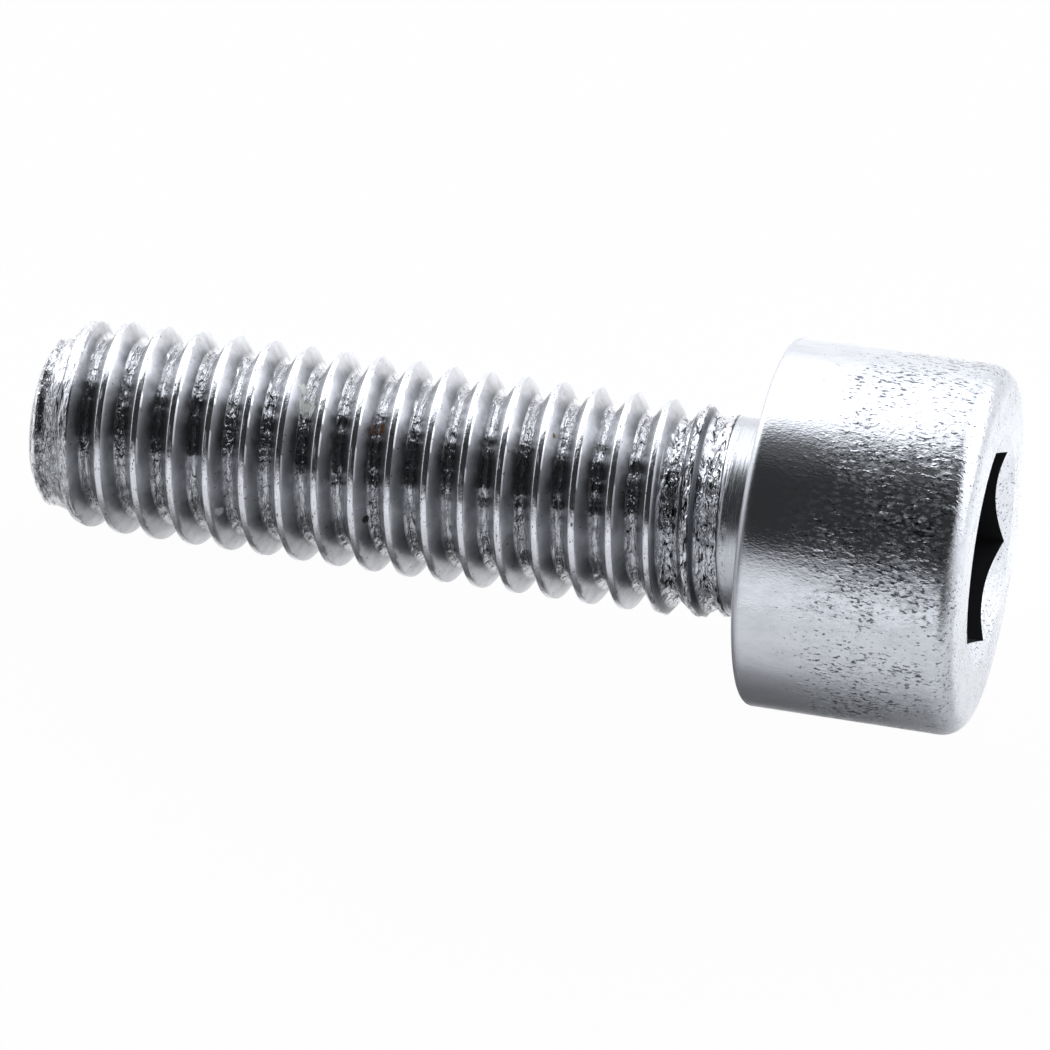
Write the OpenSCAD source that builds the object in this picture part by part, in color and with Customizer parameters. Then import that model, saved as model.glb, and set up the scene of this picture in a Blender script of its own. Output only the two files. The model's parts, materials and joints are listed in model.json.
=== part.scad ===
// Socket head cap screw, M6 x 20, right-hand coarse thread. One solid piece.
// It lies as it comes to rest: on the edge under its head and on the first crest
// behind its tip, with its axis in the XZ plane and its head towards +X.
// The thread is kept as the plain cylinder over its crests.

/* [Thread and shank] */
// Length from the underside of the head to the tip
length = 20; // [10:0.5:60]
// Diameter over the thread crests
thread_d = 5.8; // [4:0.1:7.5]
// Depth of the plain neck below the crests, in radius
neck_drop = 0.25; // [0.1:0.05:0.6]
// Length of the plain neck under the head
neck_len = 1.6; // [0.8:0.1:4]
// Length of the cone that leads from the neck to the crests
runout_len = 0.4; // [0.2:0.1:1]
// Radius of the fillet where the neck meets the head
neck_fillet = 0.3; // [0.1:0.05:0.6]
// Length of the chamfer at the tip
tip_len = 0.95; // [0.5:0.05:2]
// Drop of the chamfer at the tip, in radius
tip_drop = 0.78; // [0.4:0.02:1.2]
// Radius that rounds the chamfer into the flat end
tip_round = 0.45; // [0.1:0.05:0.6]

/* [Head] */
// Diameter of the head
head_d = 9.8; // [8:0.1:12]
// Height of the head
head_h = 5.85; // [4.5:0.05:8]
// Radius of the edge round the face
face_round = 0.65; // [0.2:0.05:0.8]
// Radius of the edge round the underside
seat_round = 0.2; // [0.1:0.05:0.4]

/* [Socket] */
// Width of the hexagon across its flats
socket_af = 5.05; // [3:0.05:6.1]
// Depth of the flats below the face
socket_depth = 3.1; // [2:0.1:3.8]
// How far the cone at the mouth reaches past the corners, in radius
mouth_margin = 0.17; // [0.05:0.01:0.3]
// Full angle of the cone at the mouth
mouth_angle = 110; // [90:5:130]
// Depth of the dished floor below the flats
floor_dish = 0.4; // [0.1:0.05:0.5]
// Turn of the hexagon about the axis, from a corner at the top
socket_turn = -19; // [-30:0.5:30]

/* [Hidden] */
$fn = 96;
overlap = 1;
inside = 0.1;
thread_r = thread_d / 2;
neck_r = thread_r - neck_drop;
head_r = head_d / 2;
corner_r = socket_af / sqrt(3);
mouth_r = corner_r + mouth_margin;
cone_r = socket_af / 2 - inside;
cone_len = (mouth_r - cone_r) / tan(mouth_angle / 2);

// The chamfer at the tip: its slope from the end face, and the rounded corner there
tip_slope = atan2(tip_len, tip_drop);
tip_r = thread_r - tip_drop;
tip_tangent = tip_round * tan(tip_slope / 2);

// The tilt at which a line touches both the rounded edge under the head and the
// corner where the chamfer at the tip ends
rise = head_r - seat_round - thread_r;
run = length - tip_len + seat_round;
rest_tilt = atan2(rise, run) + asin(seat_round / norm([run, rise]));

// Where the middle of the seat lies, so that the screw stands on Z = 0 and its
// length is centred on X = 0
seat_z = seat_round + (head_r - seat_round) * cos(rest_tilt) - seat_round * sin(rest_tilt);
face_reach = face_round + (head_h - face_round) * cos(rest_tilt)
    + (head_r - face_round) * sin(rest_tilt);
tip_reach = tip_round + (length - tip_round) * cos(rest_tilt)
    + (tip_r - tip_tangent) * sin(rest_tilt);
seat_x = (tip_reach - face_reach) / 2;

// Half sections: X is the radius, Y is the distance along the axis from the seat
module head_section() {
    square([head_r - face_round, head_h]);
    square([head_r - seat_round, head_h - face_round]);
    translate([0, seat_round]) square([head_r, head_h - face_round - seat_round]);
    translate([head_r - face_round, head_h - face_round]) circle(face_round);
    translate([head_r - seat_round, seat_round]) circle(seat_round);
}

module fillet_section() {
    difference() {
        translate([neck_r - inside, -neck_fillet]) square([neck_fillet + inside, neck_fillet + inside]);
        translate([neck_r + neck_fillet, -neck_fillet]) circle(neck_fillet);
    }
}

module shank_section() {
    translate([0, -length]) {
        polygon([
            [0, 0],
            [tip_r - tip_tangent, 0],
            [tip_r + tip_tangent * cos(tip_slope), tip_tangent * sin(tip_slope)],
            [thread_r, tip_len],
            [thread_r, length - neck_len - runout_len],
            [neck_r, length - neck_len],
            [neck_r, length + overlap],
            [0, length + overlap],
        ]);
        translate([tip_r - tip_tangent, tip_round]) circle(tip_round);
    }
}

module socket_cut() {
    rotate(socket_turn)
        translate([0, 0, head_h - socket_depth])
            linear_extrude(socket_depth + overlap) circle(corner_r, $fn = 6);
    translate([0, 0, head_h - cone_len]) cylinder(h = cone_len, r1 = cone_r, r2 = mouth_r);
    translate([0, 0, head_h]) cylinder(h = overlap, r = mouth_r);
    translate([0, 0, head_h - socket_depth - floor_dish])
        cylinder(h = floor_dish + inside, r1 = 0, r2 = cone_r);
}

module upright_screw() {
    difference() {
        rotate_extrude() {
            head_section();
            fillet_section();
            shank_section();
        }
        socket_cut();
    }
}

module screw() {
    color("silver")
        translate([seat_x, 0, seat_z]) rotate([0, 90 - rest_tilt, 0]) upright_screw();
}

screw();
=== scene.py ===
import json

import bmesh
import bpy
import numpy as np
from mathutils import Matrix


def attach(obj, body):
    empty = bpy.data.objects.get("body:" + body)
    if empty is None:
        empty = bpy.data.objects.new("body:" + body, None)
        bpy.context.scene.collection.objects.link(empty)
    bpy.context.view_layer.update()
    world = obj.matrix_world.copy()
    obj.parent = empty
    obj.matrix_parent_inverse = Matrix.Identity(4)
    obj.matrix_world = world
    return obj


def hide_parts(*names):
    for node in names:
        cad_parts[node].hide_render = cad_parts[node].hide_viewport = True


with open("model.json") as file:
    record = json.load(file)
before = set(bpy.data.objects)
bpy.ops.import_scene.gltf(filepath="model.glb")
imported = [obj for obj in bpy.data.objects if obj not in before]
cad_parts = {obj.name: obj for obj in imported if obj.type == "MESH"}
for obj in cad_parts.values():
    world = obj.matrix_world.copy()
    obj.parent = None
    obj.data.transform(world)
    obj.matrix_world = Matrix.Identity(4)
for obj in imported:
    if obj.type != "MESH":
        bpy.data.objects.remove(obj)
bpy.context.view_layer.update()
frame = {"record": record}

# An M6 x 20 socket head cap screw in stainless steel, lying on its side. It rests on the edge of
# its head and, at the tip, on the plain shank of the CAD solid. The thread made here is cut back
# at its start, so its lowest crest stays 0.13 mm clear of the floor.
# Lengths below are in millimetres and turn to metres where a mesh, a lamp or a node needs them.
MM = 0.001

# --- The screw's own frame -------------------------------------------------------------
# along: from the tip to the head. up: square to it, away from the floor. side: the third.
# s is the distance from the seat under the head, negative towards the tip, and a turn is
# counted right-handed about "along", from "up", in whole turns. The record's thread mount lies
# on the axis at SHANK_MIDDLE and points to the tip.
mounts = {m["name"]: m for m in frame["record"]["mounts"]}
SHANK_MIDDLE = -10.525
along = -np.array(mounts["thread"]["axis"])
up = np.array([-along[2], 0.0, along[0]])
side = np.cross(along, up)
seat = np.array(mounts["thread"]["pos_m"]) / MM - SHANK_MIDDLE * along

# --- Sizes -----------------------------------------------------------------------------
LENGTH = 20.0
PITCH = 1.0
CREST_R = 2.9
THREAD_DEPTH = 0.62
# Half of the flat crest, and the rounding of its edge, in pitches: on the head's side of the
# crest, and on the tip's side
CREST_HALF = (0.055, 0.03)
CREST_ROUND = (0.055, 0.06)
# At turn 0, crest 0 lies this far from the seat, and the rolled skin ends at this s
FIRST_CREST = 1.9265
ROLLED_END = -1.0865
# The rolled skin climbs along the helix up to this turn
ROLLED_TOP_TURN = 0.36
# The crest where the thread starts, counted from crest 0 and negative towards the tip
THREAD_START = -17
# Lengths along the helix are counted at this radius
HELIX_R = 2.4
NECK_R = 2.65
NECK_TOP = -0.5
FILLET = 0.3
HEAD_R = 4.9
HEAD_H = 5.85
SEAT_ROUND = 0.2
FACE_ROUND = 0.65
MOUTH_R = 3.0857
CONE_SLOPE = np.tan(np.radians(55.0))
HEX_FLAT_R = 2.525
SOCKET_DEPTH = 3.1
SOCKET_DISH = 0.4
TIP_R = 2.05
TIP_ROUND = 0.16
CUP_R = 1.5
CUP_DEPTH = 0.14

COLUMNS = 144
# The turn of one corner of the socket. The columns start half a turn from it, so that one of
# them runs through each corner.
HEX_CORNER = 40.8 / 360
START_TURN = HEX_CORNER - 0.5
turns = START_TURN + np.arange(COLUMNS) / COLUMNS
# Rows of one pitch, past the crest on the head's side and short of the next one
ROWS = np.array([0, 0.04, 0.068, 0.082, 0.094, 0.14, 0.2, 0.27, 0.335, 0.39, 0.445, 0.5,
                 0.555, 0.61, 0.665, 0.73, 0.8, 0.86, 0.915, 0.93, 0.945, 0.96, 0.975])


def step(low, high, x):
    """0 below low, 1 above high, and between them 3t^2 - 2t^3 of the way t."""
    t = np.clip((x - low) / (high - low), 0, 1)
    return t * t * (3 - 2 * t)


def mix(a, b, t):
    """a where t is 0, b where t is 1."""
    return a + (b - a) * t


def waves(points, short, long, count, seed):
    """Smooth seeded noise of about unit size: the sum of cosines of dot(k, p) + phase, scaled
    to unit variance, where each k has a random direction and a wavelength between short and
    long."""
    rng = np.random.default_rng(seed)
    k = rng.normal(size=(count, points.shape[-1]))
    k /= np.linalg.norm(k, axis=1, keepdims=True)
    k *= (2 * np.pi / rng.uniform(short, long, count))[:, None]
    phase = rng.uniform(0, 2 * np.pi, count)
    total = np.zeros(points.shape[:-1])
    for wave, start in zip(k, phase):
        total += np.cos(points @ wave + start)
    return total * np.sqrt(2 / count)


def place(s, r, turn):
    """Point of the screw: seat + s * along + r * (up cos(angle) + side sin(angle))."""
    angle = 2 * np.pi * turn
    out = seat + s[..., None] * along
    return out + (r * np.cos(angle))[..., None] * up + (r * np.sin(angle))[..., None] * side


# --- The shank -------------------------------------------------------------------------
# q counts pitches along the helix, so that a crest lies at each whole number. past is how far
# a point lies past a crest towards the head, and x its distance from the nearest crest.
def thread_form(x, half, edge_round):
    """Depth of the rolled thread below its crest, in millimetres, at distance x from the crest
    in pitches: a flat crest, an arc over its edge, a 60 degree flank of slope root 3, and an
    arc tangent to both flanks in the root. The root's radius is the depth at which the two
    flanks would meet, less the depth of the thread."""
    over_edge = np.clip(x - half, 0, edge_round * np.sin(np.pi / 3))
    edge = edge_round - np.sqrt(edge_round ** 2 - over_edge ** 2)
    start = half + edge_round * np.sin(np.pi / 3)
    flank = edge + np.sqrt(3) * np.clip(x - start, 0, 1)
    meet = edge_round / 2 + np.sqrt(3) * (0.5 - start)
    radius = meet - THREAD_DEPTH
    from_root = np.clip(0.5 - x, 0, radius * np.cos(np.pi / 6))
    root = THREAD_DEPTH - radius + np.sqrt(radius ** 2 - from_root ** 2)
    return np.where(0.5 - x < radius * np.cos(np.pi / 6), root, flank)


def thread_radius(s, x, tipward):
    """Radius of the thread: the crest's, less the depth times the share that thread_form gives.
    Crest and root close in on each other near the head, where the thread runs out into the
    neck, and there the share on the tip's side of each crest becomes 1 - (1 - 2x)^0.8."""
    form = np.where(tipward, thread_form(x, CREST_HALF[1], CREST_ROUND[1]),
                    thread_form(x, CREST_HALF[0], CREST_ROUND[0]))
    crest = CREST_R - 0.05 * step(-3.7, -3.1, s) - 0.08 * step(-2.6, -2.0, s)
    crest -= 0.12 * step(-1.5, -1.0, s)
    root = CREST_R - THREAD_DEPTH + 0.09 * step(-3.0, -2.0, s) + 0.12 * step(-2.1, -1.5, s)
    root += 0.16 * step(-1.15, -0.75, s)
    runout = step(-2.3, -1.6, s) * tipward
    shape = mix(form / THREAD_DEPTH, 1 - (1 - 2 * x) ** 0.8, runout)
    return crest - (crest - root) * shape


def rolled_end(turn):
    """Distance from the seat where the rolled skin ends on the neck: it climbs one pitch a
    turn, and on the underside it falls back to where it began."""
    climb = ROLLED_END + turn * PITCH
    fall = step(ROLLED_TOP_TURN, START_TURN + 1, turn)
    back = mix(ROLLED_END + ROLLED_TOP_TURN, ROLLED_END + START_TURN, fall)
    return np.where(turn < ROLLED_TOP_TURN, climb, back)


def thread_start(r, s, q, turn):
    """Radius with the start of the thread cut, and how far it stood out of the tip's cone. At
    a distance d from the end, all stays under 2.9 - 0.85 exp(-d / 0.63), and the groove before
    the first crest is no deeper than 2.5 - 0.45 exp(-(d / 0.55)^2)."""
    from_end = s + LENGTH
    lid = CREST_R - (CREST_R - TIP_R) * np.exp(-from_end / 0.63)
    bed = TIP_R + 0.45 * (1 - np.exp(-(from_end / 0.55) ** 2))
    ahead = 1 - step(0.36, 0.6, turn)
    drop = 0.5 * step(0.19, 0.25, THREAD_START - q)
    r = mix(r, np.maximum(r - drop, bed), (q < THREAD_START) * ahead)
    over = r - lid
    soft = 0.02
    r = r - soft * np.log1p(np.exp(np.clip(over / soft, -30, 30)))
    crease = np.exp(-((q - THREAD_START + 0.24) / 0.03) ** 2) * ahead
    return r - 0.03 * crease, over


def roughened(r, arc, s, q, fields, cone):
    """Radius with the marks of rolling, mostly 0.01 to 0.02 mm deep, each a sum of waves over
    the arc and across it: in the torn metal, grain of 0.07 to 0.5 mm that is five times as long
    along the helix, and chips; folds over the tip's cone; and nicks in the crests."""
    torn, near_crest, last = fields["torn"], fields["crest"], fields["last"]
    grain = np.stack([arc / 5, q], -1)
    rough = 0.7 * waves(grain, 0.07, 0.2, 40, 11) + 0.5 * waves(grain, 0.2, 0.5, 24, 12)
    chips = waves(np.stack([arc, q], -1), 0.4, 0.9, 40, 13)
    heavy = 1 + 0.5 * last - 0.6 * cone
    r = r + torn * heavy * (0.012 * rough + 0.01 * chips)
    folds = waves(np.stack([arc, s], -1), 0.35, 0.9, 30, 15)
    r = r + 0.014 * folds * cone * step(0.06, 0.2, s + LENGTH)
    nicks = waves(np.stack([arc, q * 0.3], -1), 0.4, 1.2, 30, 14)
    return r - 0.008 * near_crest * np.clip(nicks, 0, 3)


def shank(s, turn):
    """Radius of the shank at s and turn, and fields from 0 to 1 for its surface: torn; crest;
    turned on a lathe; last, which is 1 on the last turns under the head and 0.45 on the tip's
    cone; and deep, which is 1 at the bottom of the groove."""
    q = s - turn * PITCH + FIRST_CREST
    groove = np.floor(q)
    past = q - groove
    x = np.abs(q - np.round(q))
    end = rolled_end(turn)
    from_end = s + LENGTH

    r = thread_radius(s, x, past > 0.5)
    r = r - 0.02 * np.exp(-((s - end) / 0.025) ** 2)
    r, over = thread_start(r, s, q, turn)

    last = step(-2.75, -2.5, s)
    smooth_flank = step(0.07, 0.1, past) * (1 - step(0.22, 0.3, past))
    before_last = step(0.72, 0.76, past) * (1 - step(0.84, 0.88, past)) * (groove == -1)
    smooth_flank = np.maximum(smooth_flank, before_last)
    torn = step(0.43, 0.52, CREST_R - r)
    torn = np.maximum(torn, last * (1 - smooth_flank))
    torn = np.where(s > end, 0, torn)
    cone = np.where(q < THREAD_START - 0.2, 1 - step(1.3, 1.5, from_end), 0)
    torn = np.maximum(torn, 0.75 * cone * step(0.1, 0.25, from_end))
    torn = np.maximum(torn, 0.8 * step(0.0, 0.03, over) * (from_end < 1.5))
    fields = {
        "torn": torn,
        "crest": 1 - step(0.06, 0.1, x),
        "turned": np.clip((s - end) / 0.08 + 0.5, 0, 1),
        "last": last,
        "deep": np.clip((CREST_R - r) / THREAD_DEPTH, 0, 1),
    }
    r = roughened(r, 2 * np.pi * HELIX_R * (turn + groove), s, q, fields, cone)
    fields["last"] = np.maximum(last, 0.45 * cone)
    return r, fields


def shank_grid(s_low, r_low):
    """(s, r) and the fields on a grid from the tip's ring at (s_low, r_low) up to the neck. Its
    rows are sheared along the helix, so that they follow the crests. Past the ends of the thread
    they fall on the end rings, where the radius goes over to the tip's and to the neck's."""
    first_q = np.floor(s_low - (START_TURN + 1) + FIRST_CREST)
    last_q = np.ceil(NECK_TOP - START_TURN + FIRST_CREST)
    pitches = first_q + np.arange(int(last_q - first_q))
    q = (pitches[:, None] + ROWS[None, :]).ravel()
    s = np.clip(q[:, None] + turns[None, :] - FIRST_CREST, s_low, NECK_TOP)
    r, fields = shank(s, np.broadcast_to(turns[None, :], s.shape))
    r = mix(r, r_low, 1 - step(0.0, 0.12, s - s_low))
    r = mix(r, NECK_R, step(-0.14, 0.0, s - NECK_TOP))
    return s, r, fields


# --- Tip, head and socket --------------------------------------------------------------
def arc_points(centre_r, centre_s, radius, start, end, count):
    """Section points (r, s) on an arc, from angle start to end in degrees, r-wards is 0."""
    t = np.radians(np.linspace(start, end, count))
    return np.stack([centre_r + radius * np.cos(t), centre_s + radius * np.sin(t)], -1)


def line_points(r0, s0, r1, s1, count):
    """Section points (r, s) evenly along a straight line, both ends kept."""
    t = np.linspace(0, 1, count)
    return np.stack([mix(r0, r1, t), mix(s0, s1, t)], -1)


def tip_section():
    """Section (r, s) of the end face: a shallow cup, CUP_DEPTH (1 - (r / CUP_R)^2) deep, from a
    small ring round its middle out to the rounded edge where the cone of the tip begins."""
    r = np.linspace(0.12, TIP_R - TIP_ROUND - 0.05, 12)
    s = -LENGTH + CUP_DEPTH * np.clip(1 - (r / CUP_R) ** 2, 0, 1)
    edge = arc_points(TIP_R - TIP_ROUND, -LENGTH + TIP_ROUND, TIP_ROUND, -90, -28, 6)
    return np.concatenate([np.stack([r, s], -1), edge])


def head_section():
    """Section (r, s) from the neck, out under the head, up its side and over its face to the
    socket's mouth, and how many of its points belong to the neck and its fillet."""
    parts = [
        line_points(NECK_R, NECK_TOP, NECK_R, -FILLET, 4),
        arc_points(NECK_R + FILLET, -FILLET, FILLET, 180, 90, 8)[1:],
        line_points(NECK_R + FILLET, 0, HEAD_R - SEAT_ROUND, 0, 8)[1:],
        arc_points(HEAD_R - SEAT_ROUND, SEAT_ROUND, SEAT_ROUND, -90, 0, 8)[1:],
        line_points(HEAD_R, SEAT_ROUND, HEAD_R, HEAD_H - FACE_ROUND, 36)[1:],
        arc_points(HEAD_R - FACE_ROUND, HEAD_H - FACE_ROUND, FACE_ROUND, 0, 90, 14)[1:],
        line_points(HEAD_R - FACE_ROUND, HEAD_H, MOUTH_R, HEAD_H, 9)[1:],
    ]
    return np.concatenate(parts), len(parts[0]) + len(parts[1])


def socket_grid():
    """(s, r) for each ring and column, and how many rings lie on the cone: down the cone to the
    hexagon, down its flats, and over the dished floor. The hexagon's radius is
    flat / cos(angle from the middle of a flat)."""
    from_corner = (turns - HEX_CORNER) * 6 % 1
    hexagon = HEX_FLAT_R / np.cos((from_corner - 0.5) * np.pi / 3)
    ledge = HEAD_H - (MOUTH_R - hexagon) / CONE_SLOPE
    floor_s = HEAD_H - SOCKET_DEPTH
    down_cone = np.linspace(0, 1, 6)[1:, None]
    down_flat = np.linspace(0, 1, 12)[1:, None]
    inward = np.linspace(1, 0, 8)[1:-1, None]
    s = np.concatenate([
        mix(HEAD_H, ledge, down_cone), mix(ledge, floor_s, down_flat),
        np.repeat(floor_s - SOCKET_DISH * (1 - inward), COLUMNS, 1)])
    r = np.concatenate([
        mix(MOUTH_R, hexagon, down_cone), np.repeat(hexagon[None, :], len(down_flat), 0),
        hexagon * inward])
    return s, r, len(down_cone)


def turned_grid(section):
    """(s, r) of a section (r, s) turned about the axis."""
    return np.repeat(section[:, 1:], COLUMNS, 1), np.repeat(section[:, :1], COLUMNS, 1)


# --- The skin --------------------------------------------------------------------------
# Zones of the surface, which choose the material
THREAD, HEAD, SOCKET = 0, 1, 2


def quads(rows, closed_shift=0):
    """Corner numbers of the quads between neighbouring rows of COLUMNS points, with the row
    and column of each. The last column joins the first one closed_shift rows further on."""
    j, i = np.meshgrid(np.arange(rows - 1), np.arange(COLUMNS), indexing="ij")
    over = np.where(i == COLUMNS - 1, closed_shift, 0)
    ni = (i + 1) % COLUMNS
    keep = (j + 1 + over) < rows
    a, b = j * COLUMNS + i, (j + over) * COLUMNS + ni
    c, d = (j + 1 + over) * COLUMNS + ni, (j + 1) * COLUMNS + i
    return np.stack([a, b, c, d], -1)[keep], j[keep], i[keep]


def skin():
    """Points, faces, zones, corner UVs and point fields of the closed skin: end cup and tip,
    shank, then head and socket, with a fan of triangles at each pole. A UV is the length along
    the helix and s, and on the tip's end the two coordinates across it, in millimetres."""
    tip_s, tip_r = turned_grid(tip_section())
    shank_s, shank_r, fields = shank_grid(tip_s[-1, 0], tip_r[-1, 0])
    section, neck_rings = head_section()
    head_s, head_r = turned_grid(section)
    socket_s, socket_r, cone_rings = socket_grid()
    head_s, head_r = np.vstack([head_s, socket_s]), np.vstack([head_r, socket_r])

    points, faces, zones, uvs, start = [], [], [], [], 0
    for name, s, r in (("tip", tip_s, tip_r), ("shank", shank_s, shank_r), ("head", head_s, head_r)):
        face, j, i = quads(len(s), len(ROWS) if name == "shank" else 0)
        zone = np.full(len(face), THREAD)
        turn_i = turns[i]
        if name == "shank":
            turn_i = turn_i + j // len(ROWS)
        if name == "head":
            zone[j >= neck_rings - 1] = HEAD
            zone[j >= len(section) - 1 + cone_rings] = SOCKET
        u = 2 * np.pi * HELIX_R * np.stack([turn_i, turn_i + 1 / COLUMNS] * 2, -1)[:, [0, 1, 3, 2]]
        v = s.ravel()[face]
        if name == "tip":
            u = (r * np.cos(2 * np.pi * turns)).ravel()[face]
            v = (r * np.sin(2 * np.pi * turns)).ravel()[face]
        points.append(place(s, r, np.broadcast_to(turns[None, :], s.shape)).reshape(-1, 3))
        faces.append(face + start)
        zones.append(zone)
        uvs.append(np.stack([u, v], -1).reshape(-1, 2))
        start += s.size
    # The poles: the bottom of the end cup, and the middle of the socket's floor
    points.append([seat + (CUP_DEPTH - LENGTH) * along,
                   seat + (HEAD_H - SOCKET_DEPTH - SOCKET_DISH) * along])
    ring = np.arange(COLUMNS)
    after = (ring + 1) % COLUMNS
    rim = start - COLUMNS
    fans = np.concatenate([
        np.stack([np.full(COLUMNS, start), after, ring], -1),
        np.stack([np.full(COLUMNS, start + 1), rim + ring, rim + after], -1)])
    zones.append(np.repeat([THREAD, SOCKET], COLUMNS))
    uvs.append(np.zeros((fans.size, 2)))
    # The end cup is a little torn, and everything from the neck up counts as turned
    ends = {"torn": (0.25, 0.0), "turned": (0.0, 1.0)}
    for label, values in fields.items():
        at_tip, at_head = ends.get(label, (0.0, 0.0))
        fields[label] = np.concatenate([np.full(tip_s.size, at_tip), values.ravel(),
                                        np.full(head_s.size + 2, at_head)])
    return (np.concatenate(points), np.concatenate(faces), fans, np.concatenate(zones),
            np.concatenate(uvs), fields)


def screw_mesh(name):
    """The skin as one mesh. Where the sheared rows run past the ends of the thread their points
    coincide, and the doubles are merged."""
    points, faces, fans, zones, uvs, fields = skin()
    sizes = np.repeat([4, 3], [len(faces), len(fans)])
    made = bpy.data.meshes.new(name)
    made.vertices.add(len(points))
    made.vertices.foreach_set("co", (points * MM).ravel())
    made.loops.add(faces.size + fans.size)
    made.loops.foreach_set("vertex_index", np.concatenate([faces.ravel(), fans.ravel()]))
    made.polygons.add(len(sizes))
    made.polygons.foreach_set("loop_start", np.cumsum(sizes) - sizes)
    made.polygons.foreach_set("material_index", zones)
    made.update(calc_edges=True)
    made.uv_layers.new(name="helix").data.foreach_set("uv", uvs.ravel())
    for label, values in fields.items():
        made.attributes.new(label, "FLOAT", "POINT").data.foreach_set("value", values)

    grid = bmesh.new()
    grid.from_mesh(made)
    bmesh.ops.remove_doubles(grid, verts=grid.verts, dist=1e-4 * MM)
    bmesh.ops.dissolve_degenerate(grid, edges=grid.edges, dist=1e-5 * MM)
    grid.to_mesh(made)
    grid.free()
    made.polygons.foreach_set("use_smooth", np.ones(len(made.polygons), bool))
    made.set_sharp_from_angle(angle=np.radians(32))
    made.validate()
    return made


# --- Materials -------------------------------------------------------------------------
def linear(code):
    """sRGB hex to linear colour: (c / 12.92) below 0.04045, else ((c + 0.055) / 1.055) ^ 2.4."""
    c = np.array([int(code[k:k + 2], 16) for k in (1, 3, 5)]) / 255
    return (*np.where(c <= 0.04045, c / 12.92, ((c + 0.055) / 1.055) ** 2.4), 1.0)


def add(tree, kind, inputs=None, **settings):
    """Adds a node. Settings are its own properties; inputs are sockets to link or values."""
    made = tree.nodes.new(kind)
    for key, value in settings.items():
        setattr(made, key, value)
    for key, value in (inputs or {}).items():
        if isinstance(value, bpy.types.NodeSocket):
            tree.links.new(value, made.inputs[key])
        else:
            made.inputs[key].default_value = value
    return made


def new_material(name):
    """An empty node material and its tree."""
    material = bpy.data.materials.new(name)
    material.use_nodes = True
    material.node_tree.nodes.clear()
    return material, material.node_tree


def per(size):
    """Texture scale that gives cells of a size in millimetres, on coordinates in metres."""
    return 1 / (size * MM)


def ragged_spots(tree, where, ragged, spots, out, inside, most):
    """One share for each spot, given as (s, turn in degrees, r, size): it is 0 where the
    distance from the spot's centre plus 2 * size * ragged passes out * size, and rises to most
    where that falls to inside * size. Also the greatest of the shares."""
    shares = []
    for s, turn, r, size in spots:
        centre = place(np.array(s), np.array(r), np.array(turn / 360)) * MM
        far = add(tree, "ShaderNodeVectorMath", {0: where, 1: tuple(centre)},
                  operation="DISTANCE").outputs["Value"]
        far = add(tree, "ShaderNodeMath", {0: ragged, 1: 2 * size * MM, 2: far},
                  operation="MULTIPLY_ADD").outputs[0]
        shares.append(add(tree, "ShaderNodeMapRange", {
            0: far, 1: out * size * MM, 2: inside * size * MM, 3: 0.0, 4: most},
            interpolation_type="SMOOTHSTEP").outputs[0])
    greatest = shares[0]
    for share in shares[1:]:
        greatest = add(tree, "ShaderNodeMath", {0: greatest, 1: share},
                       operation="MAXIMUM").outputs[0]
    return shares, greatest


# Noise over the thread: cells this long along the helix and this wide across it in
# millimetres, detail and roughness
THREAD_NOISE = {
    "streaks": (0.6, 0.055, 3.0, 0.5),
    "blotches": (0.36, 0.15, 2.0, 0.5),
    "pits": (0.12, 0.08, 3.0, 0.6),
    "stretches": (2.0, 3.0, 1.0, 0.5),
    "rings": (3.0, 0.05, 3.0, 0.5),
    "specks": (0.09, 0.09, 1.0, 0.5),
    "clouds": (0.5, 0.3, 4.0, 0.65),
}
# Crumpled scales on the last turns, along the helix and across it
SCALE_SIZE = (0.5, 0.19)
# Dirt on the thread: s, turn in degrees, radius from the axis, size, colour
DIRT = [
    # Two flecks of dried white grease or paint
    (-12.42, 3, 2.4, 0.29, "#f3f5f0"), (-12.65, -6, 2.5, 0.2, "#f3f5f0"),
    # A spot of rust and a brown speck
    (-10.33, 11, 2.4, 0.17, "#6e4526"), (-5.73, 2, 2.6, 0.09, "#85704a"),
    # A dark smudge and a pale one
    (-10.45, 71, 2.5, 0.14, "#1c1a18"), (-14.56, 79, 2.6, 0.2, "#d2d4d4"),
]


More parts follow.
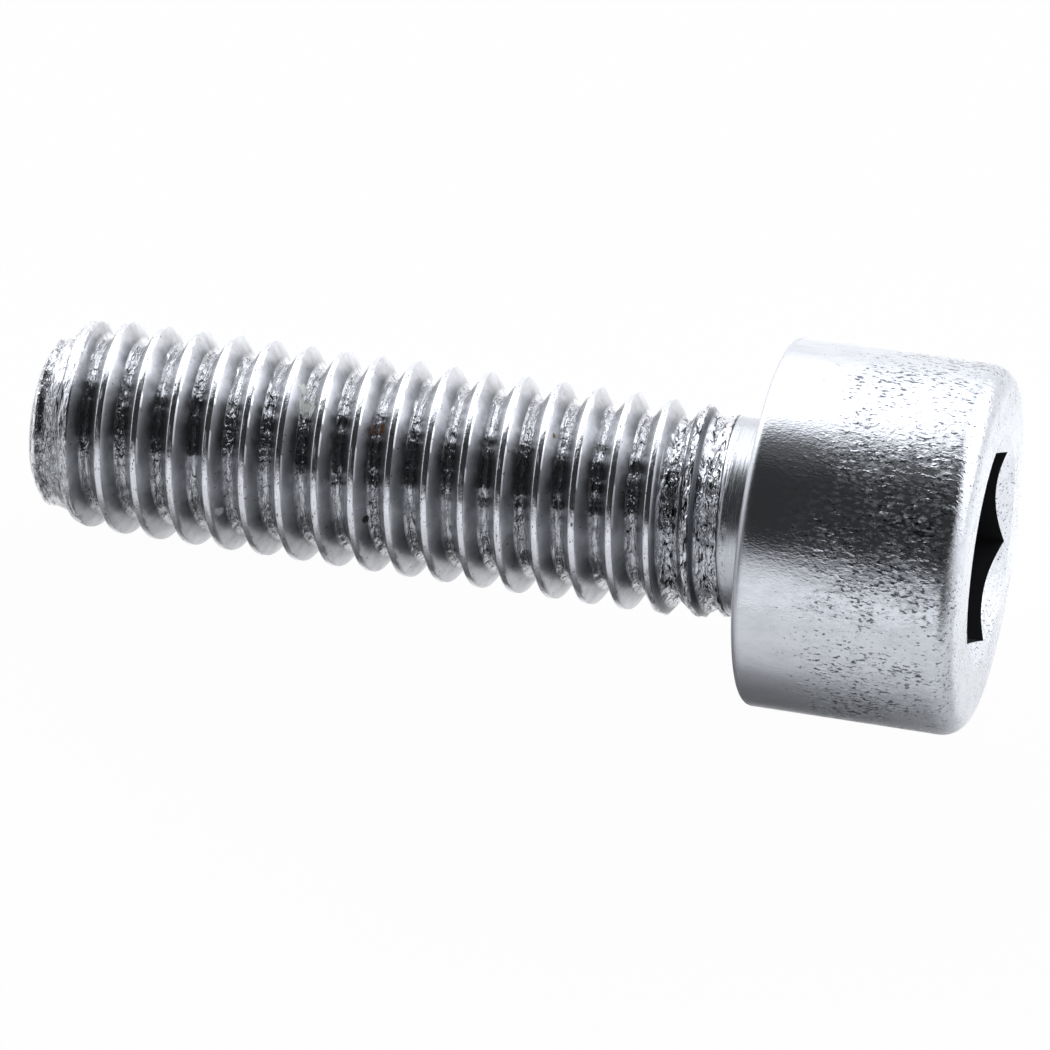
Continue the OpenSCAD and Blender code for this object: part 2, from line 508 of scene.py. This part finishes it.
def rolled_thread():
    """Stainless steel, A2, its thread cold rolled: the dies leave satin flanks, dulled by the
    rolling oil, and polished crests, and the root, where two folds of metal meet, stays torn
    The neck above it is turned and keeps fine rings. Shade is painted on: the flanks darken
    towards the root, the smooth strips on the last turns are dark, and so are the pits and
    cracks of the torn metal."""
    material, tree = new_material("stainless_steel_rolled_thread")
    torn, crest, turned, last, deep = (
        add(tree, "ShaderNodeAttribute", attribute_name=label).outputs["Fac"]
        for label in ("torn", "crest", "turned", "last", "deep"))
    helix = add(tree, "ShaderNodeUVMap", uv_map="helix").outputs["UV"]
    noise = {}
    for label, (length, width, detail, roughness) in THREAD_NOISE.items():
        at = add(tree, "ShaderNodeVectorMath", {0: helix, 1: (1 / length, 1 / width, 1)},
                 operation="MULTIPLY").outputs[0]
        noise[label] = add(tree, "ShaderNodeTexNoise", {
            "Vector": at, "Scale": 1.0, "Detail": detail, "Roughness": roughness}).outputs["Fac"]

    # Crumpled scales with cracks between them, where the blotches are: whole on the last turns,
    # and a quarter as strong on the others
    scale_at = add(tree, "ShaderNodeVectorMath",
                   {0: helix, 1: (1 / SCALE_SIZE[0], 1 / SCALE_SIZE[1], 1)},
                   operation="MULTIPLY").outputs[0]
    wander = add(tree, "ShaderNodeTexNoise", {
        "Vector": scale_at, "Scale": 1.6, "Detail": 3.0}).outputs["Color"]
    scale_at = add(tree, "ShaderNodeVectorMath", {0: wander, 1: (1.1, 1.1, 0), 2: scale_at},
                   operation="MULTIPLY_ADD").outputs[0]
    crack = add(tree, "ShaderNodeTexVoronoi", {"Vector": scale_at, "Scale": 1.0},
                feature="DISTANCE_TO_EDGE").outputs["Distance"]
    crack = add(tree, "ShaderNodeMapRange", {0: crack, 1: 0.03, 2: 0.13, 3: 1.0, 4: 0.0},
                interpolation_type="SMOOTHSTEP").outputs[0]
    broken = add(tree, "ShaderNodeMapRange", {
        0: noise["blotches"], 1: 0.47, 2: 0.56, 3: 0.0, 4: 1.0},
        interpolation_type="SMOOTHSTEP").outputs[0]
    crack_share = add(tree, "ShaderNodeMapRange", {0: last, 3: 0.25, 4: 1.0}).outputs[0]
    for share in (broken, crack_share):
        crack = add(tree, "ShaderNodeMath", {0: crack, 1: share}, operation="MULTIPLY").outputs[0]

    # Relief of the torn metal: blotches of bare metal that stand up as scales, folds that
    # streak along the helix, fine pits, and the cracks
    scales = add(tree, "ShaderNodeMapRange", {
        0: noise["blotches"], 1: 0.42, 2: 0.56, 3: 0.0, 4: 0.55},
        interpolation_type="SMOOTHSTEP").outputs[0]
    streak_share = add(tree, "ShaderNodeMapRange", {0: last, 3: 1.0, 4: 0.3}).outputs[0]
    relief = scales
    for field, weight in ((noise["blotches"], 0.8), (noise["streaks"], streak_share),
                          (noise["pits"], 0.2), (crack, -0.5)):
        relief = add(tree, "ShaderNodeMath", {0: field, 1: weight, 2: relief},
                     operation="MULTIPLY_ADD").outputs[0]
    # Most of the root is one smooth fold: it is torn in stretches 2 mm long, and on the last turns
    stretches = add(tree, "ShaderNodeMapRange", {
        0: noise["stretches"], 1: 0.45, 2: 0.6, 3: 0.25, 4: 0.9}).outputs[0]
    whole = add(tree, "ShaderNodeMath", {0: last, 1: 0.8}, operation="MULTIPLY").outputs[0]
    stretches = add(tree, "ShaderNodeMath", {0: stretches, 1: whole},
                    operation="MAXIMUM").outputs[0]
    for share in (torn, stretches):
        relief = add(tree, "ShaderNodeMath", {0: relief, 1: share}, operation="MULTIPLY").outputs[0]
    # Turning rings on the neck, small scuffs on the crests, and a trace of the die's grain on
    # the flanks
    rings = add(tree, "ShaderNodeMath", {0: noise["rings"], 1: turned},
                operation="MULTIPLY").outputs[0]
    height = add(tree, "ShaderNodeMath", {0: rings, 1: 0.24, 2: relief},
                 operation="MULTIPLY_ADD").outputs[0]
    scuff = add(tree, "ShaderNodeMapRange", {0: crest, 3: 0.04, 4: 0.16}).outputs[0]
    scuff = add(tree, "ShaderNodeMath", {0: noise["pits"], 1: scuff},
                operation="MULTIPLY").outputs[0]
    height = add(tree, "ShaderNodeMath", {0: scuff, 1: height}, operation="ADD").outputs[0]
    bump = add(tree, "ShaderNodeBump", {"Height": height, "Strength": 1.0,
                                        "Distance": 0.065 * MM}).outputs["Normal"]

    # What is dark: painted shade in the pits and cracks of the torn metal, and small marks along the
    # crests, the line where the rolled skin ends halfway up the turned field, and specks of grit
    # anywhere
    dark = add(tree, "ShaderNodeMapRange", {0: noise["pits"], 1: 0.38, 2: 0.31, 3: 0.0, 4: 1.0},
               interpolation_type="SMOOTHSTEP").outputs[0]
    dark = add(tree, "ShaderNodeMath", {0: dark, 1: crack}, operation="MAXIMUM").outputs[0]
    dark = add(tree, "ShaderNodeMath", {0: dark, 1: torn}, operation="MULTIPLY").outputs[0]
    marks = add(tree, "ShaderNodeMapRange", {0: noise["pits"], 1: 0.4, 2: 0.34, 3: 0.0, 4: 0.8},
                interpolation_type="SMOOTHSTEP").outputs[0]
    marks = add(tree, "ShaderNodeMath", {0: marks, 1: crest}, operation="MULTIPLY").outputs[0]
    line = add(tree, "ShaderNodeMath", {0: turned, 1: 0.5, 2: 0.25}, operation="COMPARE").outputs[0]
    line = add(tree, "ShaderNodeMath", {0: line, 1: 0.75}, operation="MULTIPLY").outputs[0]
    specks = add(tree, "ShaderNodeMapRange", {
        0: noise["specks"], 1: 0.7, 2: 0.77, 3: 0.0, 4: 0.8}).outputs[0]
    for mark in (marks, line, specks):
        dark = add(tree, "ShaderNodeMath", {0: dark, 1: mark}, operation="MAXIMUM").outputs[0]

    # Painted shade: the flanks are painted darker towards the root, unevenly
    root_shade_clouds = add(tree, "ShaderNodeMath", {0: noise["clouds"], 1: 1.1, 2: deep},
                 operation="MULTIPLY_ADD").outputs[0]
    root_shade_clouds = add(tree, "ShaderNodeMapRange", {0: root_shade_clouds, 1: 0.55, 2: 1.55}).outputs[0]
    # Painted shade: on the last turns the smooth strips are painted dark
    smooth = add(tree, "ShaderNodeMath", {0: 1.0, 1: torn}, operation="SUBTRACT").outputs[0]
    smooth = add(tree, "ShaderNodeMath", {0: smooth, 1: last}, operation="MULTIPLY").outputs[0]
    # Crests are bright, and so is most of the torn metal
    torn_share = add(tree, "ShaderNodeMapRange", {0: last, 3: 0.6, 4: 0.8}).outputs[0]
    bright = add(tree, "ShaderNodeMath", {0: torn, 1: torn_share}, operation="MULTIPLY").outputs[0]
    bright = add(tree, "ShaderNodeMath", {0: crest, 1: bright}, operation="MAXIMUM").outputs[0]
    # Painted shade: #68696c darkens the flanks towards the root, #5e5f63 the smooth strips on the
    # last turns, and #2a2a2e the pits and cracks of the torn metal, as well as marks and grit
    colour = linear("#d5d6d9")
    for share, code in ((root_shade_clouds, "#68696c"), (smooth, "#5e5f63"), (bright, "#ebecef"),
                        (turned, "#ced0d4"), (dark, "#2a2a2e")):
        colour = add(tree, "ShaderNodeMix", {0: share, 6: colour, 7: linear(code)},
                     data_type="RGBA").outputs[2]
    rough = add(tree, "ShaderNodeMapRange", {0: torn, 3: 0.29, 4: 0.12}).outputs[0]
    for share, value in ((crest, 0.12), (turned, 0.22)):
        rough = add(tree, "ShaderNodeMix", {0: share, 2: rough, 3: value}).outputs[0]

    # Dirt, in ragged spots that aren't metal
    where = add(tree, "ShaderNodeTexCoord").outputs["Object"]
    ragged = add(tree, "ShaderNodeTexNoise", {
        "Vector": where, "Scale": per(0.2), "Detail": 2.0}).outputs["Fac"]
    spots, dirt = ragged_spots(tree, where, ragged, [spot[:4] for spot in DIRT], 2.1, 1.65, 1.0)
    for spot, (*_, code) in zip(spots, DIRT):
        colour = add(tree, "ShaderNodeMix", {0: spot, 6: colour, 7: linear(code)},
                     data_type="RGBA").outputs[2]
    rough = add(tree, "ShaderNodeMix", {0: dirt, 2: rough, 3: 0.6}).outputs[0]
    bare = add(tree, "ShaderNodeMath", {0: 1.0, 1: dirt}, operation="SUBTRACT").outputs[0]
    steel = add(tree, "ShaderNodeBsdfPrincipled", {
        "Base Color": colour, "Roughness": rough, "Metallic": bare, "Normal": bump})
    add(tree, "ShaderNodeOutputMaterial", {"Surface": steel.outputs[0]})
    return material


# The three places where the head knocked against others: s, turn in degrees, r, radius of the
# place
KNOCKS = [(3.1, -22, HEAD_R, 1.9), (3.2, 52, HEAD_R, 1.3), (3.5, 91, HEAD_R, 1.0)]
# The share by which the coordinates of dents and of pits are squeezed along the screw, which
# draws dents out about 1.8 times and pits about 2.2 times
DENT_SQUEEZE, PIT_SQUEEZE = 0.45, 0.55


def tumbled_head():
    """Stainless steel, A2, cold headed, trimmed and tumbled: bright, with a mottle of shallow
    dents and matt scuffs that gathers towards the face, and fine dark pits."""
    material, tree = new_material("stainless_steel_tumbled_head")
    where = add(tree, "ShaderNodeTexCoord").outputs["Object"]
    height = add(tree, "ShaderNodeVectorMath", {0: where, 1: tuple(along)},
                 operation="DOT_PRODUCT").outputs["Value"]
    seat_height = float(seat @ along) * MM
    squeeze = add(tree, "ShaderNodeVectorMath", {0: tuple(along), "Scale": height},
                  operation="SCALE").outputs[0]
    grained, drawn = (
        add(tree, "ShaderNodeVectorMath", {0: squeeze, 1: (-share,) * 3, 2: where},
            operation="MULTIPLY_ADD").outputs[0] for share in (DENT_SQUEEZE, PIT_SQUEEZE))
    # Each noise: its coordinates, the size of its cells in millimetres, detail and roughness
    noise = {}
    for label, at, size, detail, roughness in (
            ("patches", where, 1.3, 2.0, 0.5), ("ragged", where, 0.5, 3.0, 0.5),
            ("sparse", grained, 0.12, 2.5, 0.5), ("dents", grained, 0.16, 4.0, 0.55),
            ("frosting", grained, 0.05, 2.0, 0.5), ("scuffs", grained, 0.1, 4.0, 0.6),
            ("pits", drawn, 0.075, 3.0, 0.6), ("haze", grained, 0.4, 5.0, 0.7)):
        noise[label] = add(tree, "ShaderNodeTexNoise", {
            "Vector": at, "Scale": per(size), "Detail": detail,
            "Roughness": roughness}).outputs["Fac"]

    # How much is dented: in patches that gather towards the face, in the knocks, and less on
    # the face itself, which is cleaner than the side
    front = add(tree, "ShaderNodeMapRange", {
        0: height, 1: seat_height + 0.3 * MM, 2: seat_height + 3.4 * MM, 3: 0.08, 4: 1.0},
        interpolation_type="SMOOTHSTEP").outputs[0]
    patches = add(tree, "ShaderNodeMapRange", {
        0: noise["patches"], 1: 0.35, 2: 0.62, 3: 0.45, 4: 1.0}).outputs[0]
    knocks = ragged_spots(tree, where, noise["ragged"], KNOCKS, 2.2, 1.0, 0.95)[1]
    calm = add(tree, "ShaderNodeMapRange", {
        0: height, 1: seat_height + 5.0 * MM, 2: seat_height + 5.8 * MM, 3: 1.0, 4: 0.72}).outputs[0]
    amount = add(tree, "ShaderNodeMath", {0: patches, 1: front}, operation="MULTIPLY").outputs[0]
    amount = add(tree, "ShaderNodeMath", {0: amount, 1: knocks}, operation="MAXIMUM").outputs[0]
    amount = add(tree, "ShaderNodeMath", {0: amount, 1: calm}, operation="MULTIPLY").outputs[0]

    # Dents about 0.15 mm wide, sparse smaller ones, and a frosting of 0.05 mm everywhere
    sparse = add(tree, "ShaderNodeMapRange", {0: noise["sparse"], 1: 0.5, 2: 0.9, 3: 0.0, 4: 1.0},
                 interpolation_type="SMOOTHSTEP").outputs[0]
    dents = add(tree, "ShaderNodeMath", {0: noise["dents"], 1: 0.8, 2: sparse},
                operation="MULTIPLY_ADD").outputs[0]
    dents = add(tree, "ShaderNodeMath", {0: dents, 1: amount}, operation="MULTIPLY").outputs[0]
    relief = add(tree, "ShaderNodeMath", {0: noise["frosting"], 1: 0.25, 2: dents},
                 operation="MULTIPLY_ADD").outputs[0]
    bump = add(tree, "ShaderNodeBump", {"Height": relief, "Strength": 1.0,
                                        "Distance": 0.019 * MM}).outputs["Normal"]

    # Matt scuffs about 0.1 mm wide, and smaller pits that keep some of the tumbling grit
    scuff = add(tree, "ShaderNodeMapRange", {0: noise["scuffs"], 1: 0.45, 2: 0.6, 3: 0.0, 4: 1.0},
                interpolation_type="SMOOTHSTEP").outputs[0]
    scuff = add(tree, "ShaderNodeMath", {0: scuff, 1: amount}, operation="MULTIPLY").outputs[0]
    limit = add(tree, "ShaderNodeMapRange", {0: amount, 3: 0.7, 4: 0.505}).outputs[0]
    pit = add(tree, "ShaderNodeMath", {0: noise["pits"], 1: limit}, operation="SUBTRACT").outputs[0]
    pit = add(tree, "ShaderNodeMapRange", {0: pit, 1: 0.0, 2: 0.09, 3: 0.0, 4: 1.0},
              interpolation_type="SMOOTHSTEP").outputs[0]
    # Cloudy haze from handling, in patches of 0.4 mm
    haze = add(tree, "ShaderNodeMapRange", {0: noise["haze"], 1: 0.4, 2: 0.68, 3: 0.0, 4: 1.0},
               interpolation_type="SMOOTHSTEP").outputs[0]
    # The trimmed edge under the head is matt and a little greyer
    edge = add(tree, "ShaderNodeMapRange", {
        0: height, 1: seat_height + 0.26 * MM, 2: seat_height + 0.12 * MM, 3: 0.0, 4: 1.0}).outputs[0]
    colour = linear("#e6e8ec")
    for share, code in ((haze, "#dbdde1"), (pit, "#65676e"), (edge, "#d0d2d6")):
        colour = add(tree, "ShaderNodeMix", {0: share, 6: colour, 7: linear(code)},
                     data_type="RGBA").outputs[2]
    rough = add(tree, "ShaderNodeMapRange", {0: scuff, 3: 0.12, 4: 0.38}).outputs[0]
    rough = add(tree, "ShaderNodeMath", {0: haze, 1: 0.05, 2: rough},
                operation="MULTIPLY_ADD").outputs[0]
    rough = add(tree, "ShaderNodeMix", {0: edge, 2: rough, 3: 0.42}).outputs[0]
    steel = add(tree, "ShaderNodeBsdfPrincipled", {
        "Base Color": colour, "Roughness": rough, "Metallic": 1.0, "Normal": bump})
    add(tree, "ShaderNodeOutputMaterial", {"Surface": steel.outputs[0]})
    return material


def pressed_socket():
    """The steel of the pressed socket, painted matt and nearly black: a painted shade, which hides
    the metal."""
    material, tree = new_material("stainless_steel_socket_painted_shade")
    where = add(tree, "ShaderNodeTexCoord").outputs["Object"]
    mottle = add(tree, "ShaderNodeTexNoise", {
        "Vector": where, "Scale": per(0.5), "Detail": 3.0}).outputs["Fac"]
    # Painted shade: the socket's inside is painted nearly black, mottled a little
    colour = add(tree, "ShaderNodeMix", {0: mottle, 6: linear("#151516"), 7: linear("#242427")},
                 data_type="RGBA").outputs[2]
    socket_shade = add(tree, "ShaderNodeBsdfPrincipled", {
        "Base Color": colour, "Roughness": 0.6, "Metallic": 0.0, "Specular IOR Level": 0.2})
    add(tree, "ShaderNodeOutputMaterial", {"Surface": socket_shade.outputs[0]})
    return material


mesh = screw_mesh("socket_head_screw")
screw = bpy.data.objects.new("socket_head_screw", mesh)
bpy.context.scene.collection.objects.link(screw)
for material in (rolled_thread(), tumbled_head(), pressed_socket()):
    mesh.materials.append(material)
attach(screw, "root")
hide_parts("screw")


# --- Floor, light and camera -----------------------------------------------------------
# Half of the paper's width, in metres
PAPER_REACH = 3.0
# Soft walls round the horizon, each stop a bearing and a brightness. Bearings 0 and 1 are far,
# 0.25 left, 0.5 near and 0.75 right. Two bright walls stand behind, to the left and to the
# right; the sides are dimmer; and a white card stands in front between two dark gaps.
WALLS = [(0.0, 0.7), (0.08, 1.3), (0.16, 1.1), (0.25, 0.55), (0.32, 0.25), (0.38, 0.05),
         (0.45, 0.55), (0.55, 0.55), (0.6, 0.05), (0.68, 0.2), (0.75, 0.6), (0.84, 1.25),
         (0.92, 1.3), (1.0, 0.7)]
WALL_LEVEL = 1.65
# The camera: its lens and the width of its sensor, its distance and direction from the point it
# looks at, and that point
LENS, SENSOR = 205.9, 36.0
CAMERA_DISTANCE = 158.02
CAMERA_AZIMUTH, CAMERA_ELEVATION = 13.948, 56.456
CAMERA_TARGET = (0.61, -1.66, 4.79)


def direction(azimuth, elevation):
    """Unit vector: azimuth 0 looks towards -Y, 90 towards +X; elevation is above the floor."""
    az, el = np.radians(azimuth), np.radians(elevation)
    return np.array([np.sin(az) * np.cos(el), -np.cos(az) * np.cos(el), np.sin(el)])


def floor_material():
    """Matt white paper sweep. Seen straight on, most of its white is its own, so that the
    sheet stays white up to the screw's soft shadow. Mirrored in the steel it differs in two
    ways, both painted: the paper close in front of the screw and under it is painted greyer, a
    painted shadow, and the sheet glows, a painted light as of a lit panel below it, from under
    the screw backwards, less so far behind the screw and beyond its face."""
    material, tree = new_material("white_paper_sweep")
    rays = add(tree, "ShaderNodeLightPath").outputs
    spot = add(tree, "ShaderNodeTexCoord").outputs["Object"]
    spot = add(tree, "ShaderNodeSeparateXYZ", {0: spot}).outputs
    depth = spot["Y"]
    mirrored = add(tree, "ShaderNodeMath", {0: rays["Is Glossy Ray"], 1: rays["Is Transmission Ray"]},
                   operation="MAXIMUM").outputs[0]
    # Painted shadow, seen only in the steel: close is where the paper lies behind a front edge,
    # before a back edge, and to the left of one beyond the screw's face, and there it is greyer
    close = mirrored
    for at, out, inside in ((depth, -12, -6), (depth, 6, 2), (spot["X"], 16, 11)):
        edge = add(tree, "ShaderNodeMapRange", {0: at, 1: out * MM, 2: inside * MM, 3: 0.0, 4: 1.0},
                   interpolation_type="SMOOTHSTEP").outputs[0]
        close = add(tree, "ShaderNodeMath", {0: close, 1: edge}, operation="MULTIPLY").outputs[0]
    tone = add(tree, "ShaderNodeMix", {0: close, 6: linear("#fafafa"), 7: linear("#c2c2c2")},
               data_type="RGBA").outputs[2]
    paper = add(tree, "ShaderNodeBsdfDiffuse", {"Color": tone})
    white = add(tree, "ShaderNodeEmission", {"Color": linear("#ffffff"), "Strength": 1.0})
    seen = add(tree, "ShaderNodeMath", {0: rays["Is Camera Ray"], 1: 0.97},
               operation="MULTIPLY").outputs[0]
    sheet = add(tree, "ShaderNodeMixShader", {0: seen, 1: paper.outputs[0], 2: white.outputs[0]})
    # Painted light, seen only in the steel, as of a lit panel below the sheet: where it begins, how
    # its power falls behind the screw, and beyond the face
    panel = add(tree, "ShaderNodeMapRange", {0: depth, 1: -4.3 * MM, 2: -1.7 * MM, 3: 0.0, 4: 1.0},
                interpolation_type="SMOOTHSTEP").outputs[0]
    power = add(tree, "ShaderNodeMapRange", {0: depth, 1: 6 * MM, 2: 14 * MM, 3: 0.75, 4: 0.33},
                interpolation_type="SMOOTHSTEP").outputs[0]
    beside = add(tree, "ShaderNodeMapRange", {0: spot["X"], 1: 11 * MM, 2: 15 * MM, 3: 1.0, 4: 0.45},
                 interpolation_type="SMOOTHSTEP").outputs[0]
    power = add(tree, "ShaderNodeMath", {0: power, 1: beside}, operation="MULTIPLY").outputs[0]
    glow = add(tree, "ShaderNodeMath", {0: mirrored, 1: panel}, operation="MULTIPLY").outputs[0]
    glow = add(tree, "ShaderNodeMath", {0: glow, 1: power}, operation="MULTIPLY").outputs[0]
    glow = add(tree, "ShaderNodeEmission", {"Color": linear("#ffffff"), "Strength": glow})
    both = add(tree, "ShaderNodeAddShader", {0: sheet.outputs[0], 1: glow.outputs[0]})
    add(tree, "ShaderNodeOutputMaterial", {"Surface": both.outputs[0]})
    return material


def studio_world():
    """A studio of soft walls with a dark opening above, and plain white for the camera itself.
    A ray meets the wall at its bearing, times 0 inside the opening and rising to WALL_LEVEL
    past its edge, plus a little light that spills in from the far wall."""
    world = bpy.data.worlds.new("studio")
    world.use_nodes = True
    sky = world.node_tree
    sky.nodes.clear()
    looking = add(sky, "ShaderNodeTexCoord").outputs["Generated"]
    split = add(sky, "ShaderNodeSeparateXYZ", {0: looking}).outputs
    nearward = add(sky, "ShaderNodeMath", {0: split["Y"], 1: -1.0}, operation="MULTIPLY").outputs[0]
    bearing = add(sky, "ShaderNodeMath", {0: split["X"], 1: nearward},
                  operation="ARCTAN2").outputs[0]
    bearing = add(sky, "ShaderNodeMapRange", {0: bearing, 1: -np.pi, 2: np.pi}).outputs[0]
    walls = add(sky, "ShaderNodeValToRGB", {"Fac": bearing})
    ramp = walls.color_ramp
    for number, (at, value) in enumerate(WALLS):
        stop = ramp.elements[number] if number < 2 else ramp.elements.new(at)
        stop.position, stop.color = at, (value, value, value, 1)
    # The dark opening above, where the camera stands and no soft wall hangs
    opening = add(sky, "ShaderNodeVectorMath", {0: looking, 1: tuple(direction(0, 75))},
                  operation="DOT_PRODUCT").outputs["Value"]
    opening = add(sky, "ShaderNodeMath", {0: opening}, operation="ARCCOSINE").outputs[0]
    # Its edge: a quick rise to 0.45 of the wall's level, then a slow one to the whole of it
    edge = add(sky, "ShaderNodeMapRange", {
        0: opening, 1: np.radians(37), 2: np.radians(48), 3: 0.0, 4: 0.45 * WALL_LEVEL},
        interpolation_type="SMOOTHSTEP").outputs[0]
    slope = add(sky, "ShaderNodeMapRange", {
        0: opening, 1: np.radians(44), 2: np.radians(60), 3: 0.0, 4: 0.55 * WALL_LEVEL}).outputs[0]
    lit = add(sky, "ShaderNodeMath", {0: edge, 1: slope}, operation="ADD").outputs[0]
    level = add(sky, "ShaderNodeMath", {0: walls.outputs["Color"], 1: lit},
                operation="MULTIPLY").outputs[0]
    # Light that spills into the opening from the far wall
    far = add(sky, "ShaderNodeVectorMath", {0: looking, 1: tuple(direction(180, 60))},
              operation="DOT_PRODUCT").outputs["Value"]
    spill = add(sky, "ShaderNodeMapRange", {0: far, 1: 0.8, 2: 1.0, 3: 0.035, 4: 0.16},
                interpolation_type="SMOOTHSTEP").outputs[0]
    level = add(sky, "ShaderNodeMath", {0: level, 1: spill}, operation="ADD").outputs[0]
    seen = add(sky, "ShaderNodeLightPath").outputs["Is Camera Ray"]
    level = add(sky, "ShaderNodeMix", {0: seen, 2: level, 3: 1.0}).outputs[0]
    tint = add(sky, "ShaderNodeMix", {0: seen, 6: linear("#f6f8fe"), 7: linear("#ffffff")},
               data_type="RGBA").outputs[2]
    back = add(sky, "ShaderNodeBackground", {"Color": tint, "Strength": level})
    add(sky, "ShaderNodeOutputWorld", {"Surface": back.outputs[0]})
    return world


def aim(place_at, toward):
    """Turns -Z of a lamp or camera at place_at towards a point, its Y kept as near up as can be."""
    back_axis = np.array(place_at) - np.array(toward)
    back_axis = back_axis / np.linalg.norm(back_axis)
    right = np.cross((0, 0, 1), back_axis)
    right /= np.linalg.norm(right)
    over = np.cross(back_axis, right)
    return Matrix((*zip(right, over, back_axis, np.array(place_at)), (0, 0, 0, 1)))


def soft_panel(name, azimuth, elevation, distance, width, height, radiance):
    """A soft box of even radiance, aimed at the middle of the screw, with its distance and sizes
    in metres. Its power is radiance * pi * area."""
    lamp = bpy.data.lights.new(name, "AREA")
    lamp.shape = "RECTANGLE"
    lamp.size, lamp.size_y = width, height
    lamp.energy = radiance * np.pi * width * height
    holder = bpy.data.objects.new(name, lamp)
    holder.matrix_world = aim(distance * direction(azimuth, elevation), (0, 0, 0.005))
    bpy.context.scene.collection.objects.link(holder)


floor_mesh = bpy.data.meshes.new("paper_sweep")
floor_mesh.from_pydata([(-PAPER_REACH, -PAPER_REACH, 0), (PAPER_REACH, -PAPER_REACH, 0),
                        (PAPER_REACH, PAPER_REACH, 0), (-PAPER_REACH, PAPER_REACH, 0)],
                       [], [(0, 1, 2, 3)])
floor_mesh.materials.append(floor_material())
floor = bpy.data.objects.new("paper_sweep", floor_mesh)
bpy.context.scene.collection.objects.link(floor)

bpy.context.scene.world = studio_world()
soft_panel("right_rear_panel", 137, 20, 0.6, 0.5, 0.38, 1.2)
soft_panel("left_rear_panel", -132, 22, 0.6, 0.36, 0.4, 2.1)

camera = bpy.data.cameras.new("camera")
camera.lens, camera.sensor_width = LENS, SENSOR
camera.clip_start, camera.clip_end = 0.005, 20.0
target = np.array(CAMERA_TARGET) * MM
eye = bpy.data.objects.new("camera", camera)
eye.matrix_world = aim(
    target + CAMERA_DISTANCE * MM * direction(CAMERA_AZIMUTH, CAMERA_ELEVATION), target)
bpy.context.scene.collection.objects.link(eye)
bpy.context.scene.camera = eye
bpy.context.scene.view_settings.view_transform = "Standard"

bpy.context.view_layer.update()
